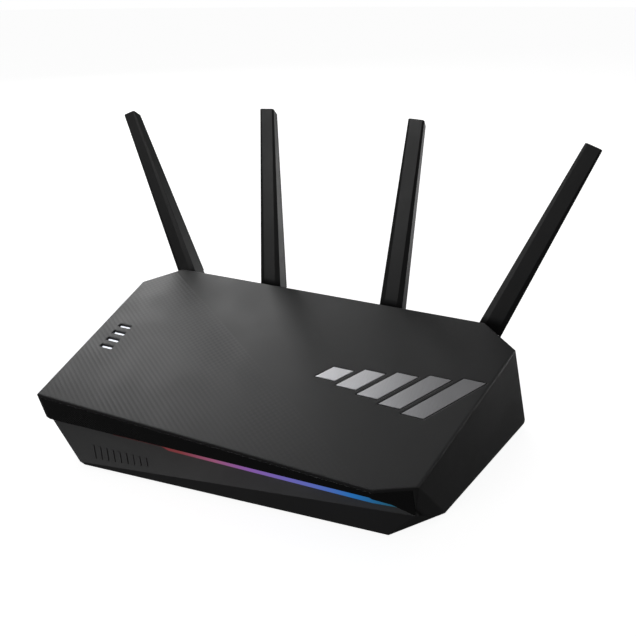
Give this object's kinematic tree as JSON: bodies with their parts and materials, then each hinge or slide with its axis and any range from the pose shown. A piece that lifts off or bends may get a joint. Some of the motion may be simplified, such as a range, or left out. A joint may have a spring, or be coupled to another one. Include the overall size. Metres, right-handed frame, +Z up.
{
  "type": "wireless router",
  "caption": "Angular black wireless router with hinged aerials, a sloping top panel, a lit strip under its front edge, and network, USB and power sockets at the back.",
  "frame": {"origin": "midway between the two wall-hanging keyholes, on the underside of the base; the feet stand 3 mm below it", "axes": "+X to the right seen from the front, +Y to the back, +Z up"},
  "size_m": [0.3136, 0.1649, 0.1866],
  "materials": {
    "cover": "fine matte texture with a thin diagonal line pattern over the left third",
    "band": "polished black",
    "chin": "matte moulded",
    "tray": "matte moulded",
    "aerial": "matte moulded",
    "bush": "matte moulded",
    "steel": "zinc plated",
    "emblem": "brushed silver",
    "guide": "clear light guide, lit from red through violet and blue to green",
    "lens": "milky white",
    "led": "white with a phosphor window",
    "feet": "soft moulded rubber",
    "circuit_board": "solder mask over copper",
    "chip": "moulded package",
    "pad": "soft silicone",
    "heat_sink": "extruded",
    "shield": "tin plated",
    "capacitor": "drawn can",
    "wan": "moulded",
    "lan": "moulded",
    "contact": "gold plated",
    "usb_tongue": "moulded",
    "black_parts": "moulded",
    "copper": "bare copper",
    "lead": "thin jacket"
  },
  "bodies": {
    "casing": {"top_cover": "cover", "front_band": "band", "light_guide": "guide", "light_leds": "led", "light_board": "circuit_board", "front_chin": "chin", "base_tray": "tray", "rubber_feet": "feet", "cover_screws": "steel", "rear_panel": "tray", "wan_jack": "wan", "lan_jack_1": "lan", "lan_jack_2": "lan", "lan_jack_3": "lan", "lan_jack_4": "lan", "jack_contacts": "contact", "usb_port": "shield", "usb_contact_tongue": "usb_tongue", "power_inlet": "black_parts", "power_inlet_pin": "contact", "button_switches": "black_parts", "main_board": "circuit_board", "board_screws": "steel", "processor": "chip", "thermal_pad": "pad", "heat_sink": "heat_sink", "radio_shields": "shield", "capacitors": "capacitor", "indicator_lenses": "lens", "emblem": "emblem", "aerial_bushes": "bush", "lead_sockets": "contact", "aerial_leads": "lead"},
    "swivel_1": {"aerial_swivel_1": "aerial", "aerial_pin_1": "steel"},
    "aerial_1": {"aerial_shell_1": "aerial", "aerial_back_1": "aerial", "aerial_element_1": "copper"},
    "swivel_2": {"aerial_swivel_2": "aerial", "aerial_pin_2": "steel"},
    "aerial_2": {"aerial_shell_2": "aerial", "aerial_back_2": "aerial", "aerial_element_2": "copper"},
    "swivel_3": {"aerial_swivel_3": "aerial", "aerial_pin_3": "steel"},
    "aerial_3": {"aerial_shell_3": "aerial", "aerial_back_3": "aerial", "aerial_element_3": "copper"},
    "swivel_4": {"aerial_swivel_4": "aerial", "aerial_pin_4": "steel"},
    "aerial_4": {"aerial_shell_4": "aerial", "aerial_back_4": "aerial", "aerial_element_4": "copper"},
    "power_button": {"power_button": "black_parts"},
    "wps_button": {"wps_button": "black_parts"},
    "reset_button": {"reset_button": "black_parts"}
  },
  "joints": [
    {"name": "aerial_1_swivel", "type": "hinge", "parent": "casing", "child": "swivel_1", "pos_m": [-0.1125, 0.06678, 0.055], "axis": [0, 1, 0], "range_deg": [-69, 36]},
    {"name": "aerial_1_fold", "type": "hinge", "parent": "swivel_1", "child": "aerial_1", "pos_m": [-0.1125, 0.06678, 0.055], "axis": [-0.9336, 0, -0.3584], "range_deg": [-3, 87]},
    {"name": "aerial_2_swivel", "type": "hinge", "parent": "casing", "child": "swivel_2", "pos_m": [-0.047, 0.06678, 0.055], "axis": [0, 1, 0], "range_deg": [-27.2, 27.8]},
    {"name": "aerial_2_fold", "type": "hinge", "parent": "swivel_2", "child": "aerial_2", "pos_m": [-0.047, 0.06678, 0.055], "axis": [-0.9988, 0, -0.0489], "range_deg": [-6, 84]},
    {"name": "aerial_3_swivel", "type": "hinge", "parent": "casing", "child": "swivel_3", "pos_m": [0.04, 0.06678, 0.055], "axis": [0, 1, 0], "range_deg": [-27.8, 27.2]},
    {"name": "aerial_3_fold", "type": "hinge", "parent": "swivel_3", "child": "aerial_3", "pos_m": [0.04, 0.06678, 0.055], "axis": [-0.9988, 0, 0.0489], "range_deg": [-6, 84]},
    {"name": "aerial_4_swivel", "type": "hinge", "parent": "casing", "child": "swivel_4", "pos_m": [0.102, 0.06678, 0.055], "axis": [0, 1, 0], "range_deg": [-35, 70]},
    {"name": "aerial_4_fold", "type": "hinge", "parent": "swivel_4", "child": "aerial_4", "pos_m": [0.102, 0.06678, 0.055], "axis": [-0.9397, 0, 0.342], "range_deg": [-6, 84]},
    {"name": "power_button_press", "type": "slide", "parent": "casing", "child": "power_button", "axis": [0, -1, 0], "range_m": [0, 0.0022], "stiffness_N_per_m": 400},
    {"name": "wps_button_press", "type": "slide", "parent": "casing", "child": "wps_button", "axis": [0, -1, 0], "range_m": [0, 0.0008], "stiffness_N_per_m": 800},
    {"name": "reset_button_press", "type": "slide", "parent": "casing", "child": "reset_button", "axis": [0, -1, 0], "range_m": [0, 0.0005], "stiffness_N_per_m": 800}
  ]
}
